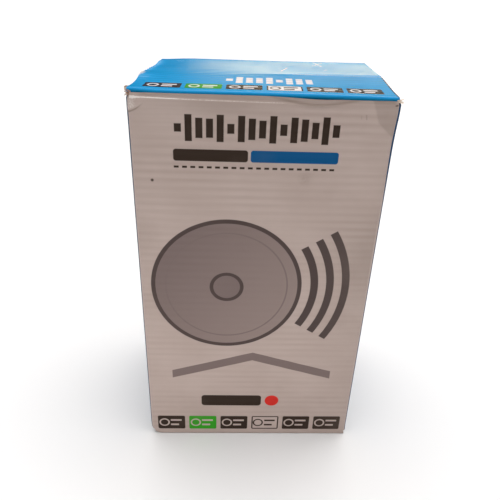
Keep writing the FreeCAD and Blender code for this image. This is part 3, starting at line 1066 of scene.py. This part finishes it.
def fold_liner(name, material, bend, normals, reach, slope, thickness):
    """A strip of liner round a bend, given in side view, that reaches down the back and along the lid."""
    sheet = Sheet(name)
    x = spaced((-LID_HALF, LID_HALF, 5 * MM))
    steps = np.linspace(0, reach, LINER_STEPS + 1)[1:]
    low = bend[:, :1] - np.outer((0, 1), steps[::-1])
    far = bend[:, -1:] + np.outer((-1, slope), steps)
    path = join([low, bend, far], axis=1)
    normals = np.pad(normals, ((0, 0), (LINER_STEPS, LINER_STEPS)), mode="edge")
    shell = []
    for offset in (LINER_PROUD, LINER_PROUD - thickness):
        y, z = path + normals * offset
        shell.append(stack(x, y[:, None], z[:, None]))
    flat = stack(x, distance_along(*path)[:, None])
    facing = np.array([0, *normals[:, path.shape[1] // 2]])
    sheet.grid(shell[0], material, facing, flat, painted_light_and_wear=0.25)
    sheet.grid(shell[1], KRAFT_PAPER, -facing, flat)
    along = np.array([0, *(path[:, -1] - path[:, 0])])
    for end, way in ((0, -1), (-1, 1)):
        sheet.strip(shell[0][end], shell[1][end], material, along * way)
        sheet.strip(shell[0][:, end], shell[1][:, end], material, (way, 0, 0))
    return sheet.make()


def outer_fold_liner():
    turn = np.radians(np.linspace(0, 90, 13))
    bend = np.array(fold_arc(BACK_FOLD_Y, LID_FOLD_Z, turn))
    normals = np.array([np.cos(turn), np.sin(turn)])
    slope = RIDGE_RISE / REAR_RUN
    return fold_liner("fold_liner_outer", FLAP_PRINT, bend, normals, 2.5 * MM, slope, 0.2 * MM)


def inner_fold_liner():
    share = np.linspace(0, 1, 5)
    bend = np.array([INNER_Y - MITRE_GAP * share, np.full(len(share), LID_BOTTOM)])
    normals = np.array([share - 1, -share])
    return fold_liner("fold_liner_inner", KRAFT_PAPER, bend, normals, 2 * MM, 0, 0.15 * MM)


# Torn tips at the left (-1) and right (1) top corners. Heights are from the CAD panel's top.
FRAY_HEIGHTS = {-1: (0.6 * MM, 2.1 * MM), 1: (0.3 * MM, 1.2 * MM)}
FRAY_LENGTHS = {-1: (2.4 * MM, 4.2 * MM), 1: (2.8 * MM, 5.0 * MM)}
FRAY_PAPER = {-1: SPLIT_PAPER, 1: TORN_PAPER}
FRAY_TIPS = {-1: 14, 1: 8}
FRAY_HALF_THICK = 0.14 * MM
FRAY_TAPER = 0.92


def frayed_corner(side):
    """Torn paper tips that stand out from the front panel's edge at a top corner."""
    sheet = Sheet("frayed_corner_" + SIDES[side])
    draw = random.uniform
    for _ in range(FRAY_TIPS[side]):
        root = np.array([
            side * (PANEL_HALF - draw(0.2, 0.8) * MM),
            -HALF_DEPTH + draw(0.8, 2.4) * MM,
            PANEL_TOP + draw(*FRAY_HEIGHTS[side]),
        ])
        lean = np.array([side * draw(0.5, 1), draw(-0.5, 0.1), draw(-0.3, 0.5)])
        lean *= draw(*FRAY_LENGTHS[side]) / np.linalg.norm(lean)
        width = np.array([0, draw(0.5, 1), draw(-1, 1)]) * draw(0.6, 1.1) * MM
        thick = np.cross(lean, width)
        thick *= FRAY_HALF_THICK / np.linalg.norm(thick)
        curl = np.array([0, 0, draw(-0.8, 0.8)]) * MM
        share = np.linspace(0, 1, 6)[:, None]
        middle = root + lean * share + curl * share * share
        half = width * (1 - FRAY_TAPER * share)
        round_line = [middle - half, middle + thick, middle + half, middle - thick, middle - half]
        rows = np.stack(round_line, axis=1)
        sheet.grid(rows, FRAY_PAPER[side], np.cross(rows[1, 1] - rows[0, 1], rows[0, 1] - rows[0, 0]))
    return sheet.make()


def lid_curl():
    """The top liner split from the lid's front left corner, curled round in a small loop."""
    sheet = Sheet("lid_corner_curl", KNOCKS + LID_KNOCKS)
    turn = np.radians(np.linspace(0, 180, 26))
    middle_x, middle_y = -LID_HALF + 0.4 * MM, LID_FRONT + 4.6 * MM
    reach_x, reach_y = 2.4 * MM, 4.2 * MM
    thickness = 0.3 * MM
    lift = 0.5 * MM * np.sin(turn)
    low, high = LID_BOTTOM + 0.6 * MM + lift, LID_TOP - 0.1 * MM + lift
    faces = []
    for inset in (0, thickness):
        x = middle_x - (reach_x - inset) * np.sin(turn)
        y = middle_y + (reach_y - inset) * np.cos(turn)
        faces.append(np.stack([stack(x, y, low), stack(x, y, high)]))
    sheet.grid(faces[0], TORN_PAPER, (-1, 0, 0))
    sheet.grid(faces[1], TORN_PAPER, (1, 0, 0))
    for row, way in ((0, -1), (1, 1)):
        sheet.strip(faces[0][row], faces[1][row], TORN_PAPER, (0, 0, way))
    return sheet.make()


# Pieces, and the CAD bodies they ride on.
body_pieces = [front_panel(), carton_shell(), dust_flap(-1), dust_flap(1)]
body_pieces += [frayed_corner(-1), frayed_corner(1)]
lid = lid_panel()
curl = lid_curl()
liner_outer = outer_fold_liner()
liner_inner = inner_fold_liner()
for piece in body_pieces:
    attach(piece, "carton")
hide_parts("carton_body")
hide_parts("carton_body")
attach(lid, "lid")
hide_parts("top_lid")
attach(curl, "lid")
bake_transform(liner_outer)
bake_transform(liner_inner)

# Floor, backdrop and world.
STAGE_SIZE = 60

scene = bpy.context.scene
scene.view_settings.view_transform = "Standard"


def dress_stage(name, looks):
    """Gives the piece made last a name, and a material with the given shader inputs."""
    piece = bpy.context.object
    piece.name = name
    material = bpy.data.materials.new(name)
    material.use_nodes = True
    piece.data.materials.append(material)
    for pin, value in looks.items():
        material.node_tree.nodes["Principled BSDF"].inputs[pin].default_value = value
    return piece


bpy.ops.mesh.primitive_plane_add(size=STAGE_SIZE)
floor = dress_stage("floor", {"Base Color": (0.84, 0.9, 0.93, 1), "Roughness": 0.9})
bpy.ops.mesh.primitive_cylinder_add(vertices=96, radius=14, depth=STAGE_SIZE, end_fill_type="NOTHING")
glow = {"Base Color": (0.9, 0.9, 0.9, 1), "Emission Color": (1, 1, 1, 1), "Emission Strength": 1}
backdrop = dress_stage("backdrop", glow)
backdrop.visible_diffuse = False
backdrop.visible_glossy = False
backdrop.visible_shadow = False

world = bpy.data.worlds.new("world")
scene.world = world
world.use_nodes = True
background = world.node_tree.nodes["Background"].inputs
background["Color"].default_value = (1, 0.95, 0.9, 1)
background["Strength"].default_value = 0.01

# Lights: a wide soft sky, a low fill for the front's foot, and a card behind the lid.
CARD_COLOUR = (1, 0.84, 0.44)
CARD_TARGET_Z = 0.33
CARD_FADE = (-0.38, 0.2)
CARD_FADE_POWER = 1.3
CARD_RIGHT = 2.3
CARD_DISTANCE = 3.0
CARD_MIDDLE = 0.56
CARD_HEIGHT = 0.44
CARD_WATTS = 12.4  # a square metre
STRIPS = 8


def add_light(name, kind, place, target, strength, colour, size=None):
    data = bpy.data.lights.new(name, kind)
    data.energy = strength
    data.color = colour
    if size:
        data.shape = "RECTANGLE"
        data.size, data.size_y = size
    light = bpy.data.objects.new(name, data)
    light.location = place
    light.rotation_euler = (Vector(target) - Vector(place)).to_track_quat("-Z", "Y").to_euler()
    light.visible_camera = False
    scene.collection.objects.link(light)
    return light


sky = add_light("sky", "SUN", place=(0.2, 0.5, 2), target=(0, 0, 0), strength=4.3, colour=(1, 0.92, 0.885))
sky.data.angle = math.radians(95)
fill = add_light(
    "low_fill", "AREA", place=(-0.08, -0.38, 0.045), target=(-0.02, -0.073, 0.02),
    strength=0.32, colour=(1, 0.95, 0.92), size=(0.5, 0.06),
)
fill.visible_glossy = False

# The lid mirrors the card as its sheen. The card's left side fades away in strips.
edges = np.append(np.linspace(*CARD_FADE, STRIPS + 1), CARD_RIGHT)
for number, (left, right) in enumerate(zip(edges, edges[1:])):
    middle, width = (left + right) / 2, right - left
    share = 1 - max(0, 1 - (number + 0.5) / STRIPS) ** CARD_FADE_POWER
    card = add_light(
        f"sheen_card_{number}", "AREA", (middle, CARD_DISTANCE, CARD_MIDDLE), (middle, 0, CARD_TARGET_Z),
        CARD_WATTS * share * width * CARD_HEIGHT, CARD_COLOUR, (width, CARD_HEIGHT),
    )
    card.visible_diffuse = False

# Camera, solved from the carton's corners in the photo.
PICTURE = 500  # pixels
FOCAL_PIXELS = 519.5
SENSOR = 36  # mm
CAMERA_PLACE = (-0.0263, -0.43799, 0.40731)
CAMERA_AHEAD = (0.03992, 0.8761, -0.48048)
CAMERA_RIGHT = (0.99905, -0.02668, 0.03435)
camera_data = bpy.data.cameras.new("camera")
camera_data.sensor_width = SENSOR
camera_data.lens = FOCAL_PIXELS / PICTURE * SENSOR
camera = bpy.data.objects.new("camera", camera_data)
ahead = Vector(CAMERA_AHEAD)
right = Vector(CAMERA_RIGHT)
right = (right - ahead * right.dot(ahead) / ahead.length_squared).normalized()
ahead.normalize()
turn = Matrix((right, right.cross(ahead), -ahead)).transposed().to_4x4()
camera.matrix_world = Matrix.Translation(CAMERA_PLACE) @ turn
scene.collection.objects.link(camera)
scene.camera = camera
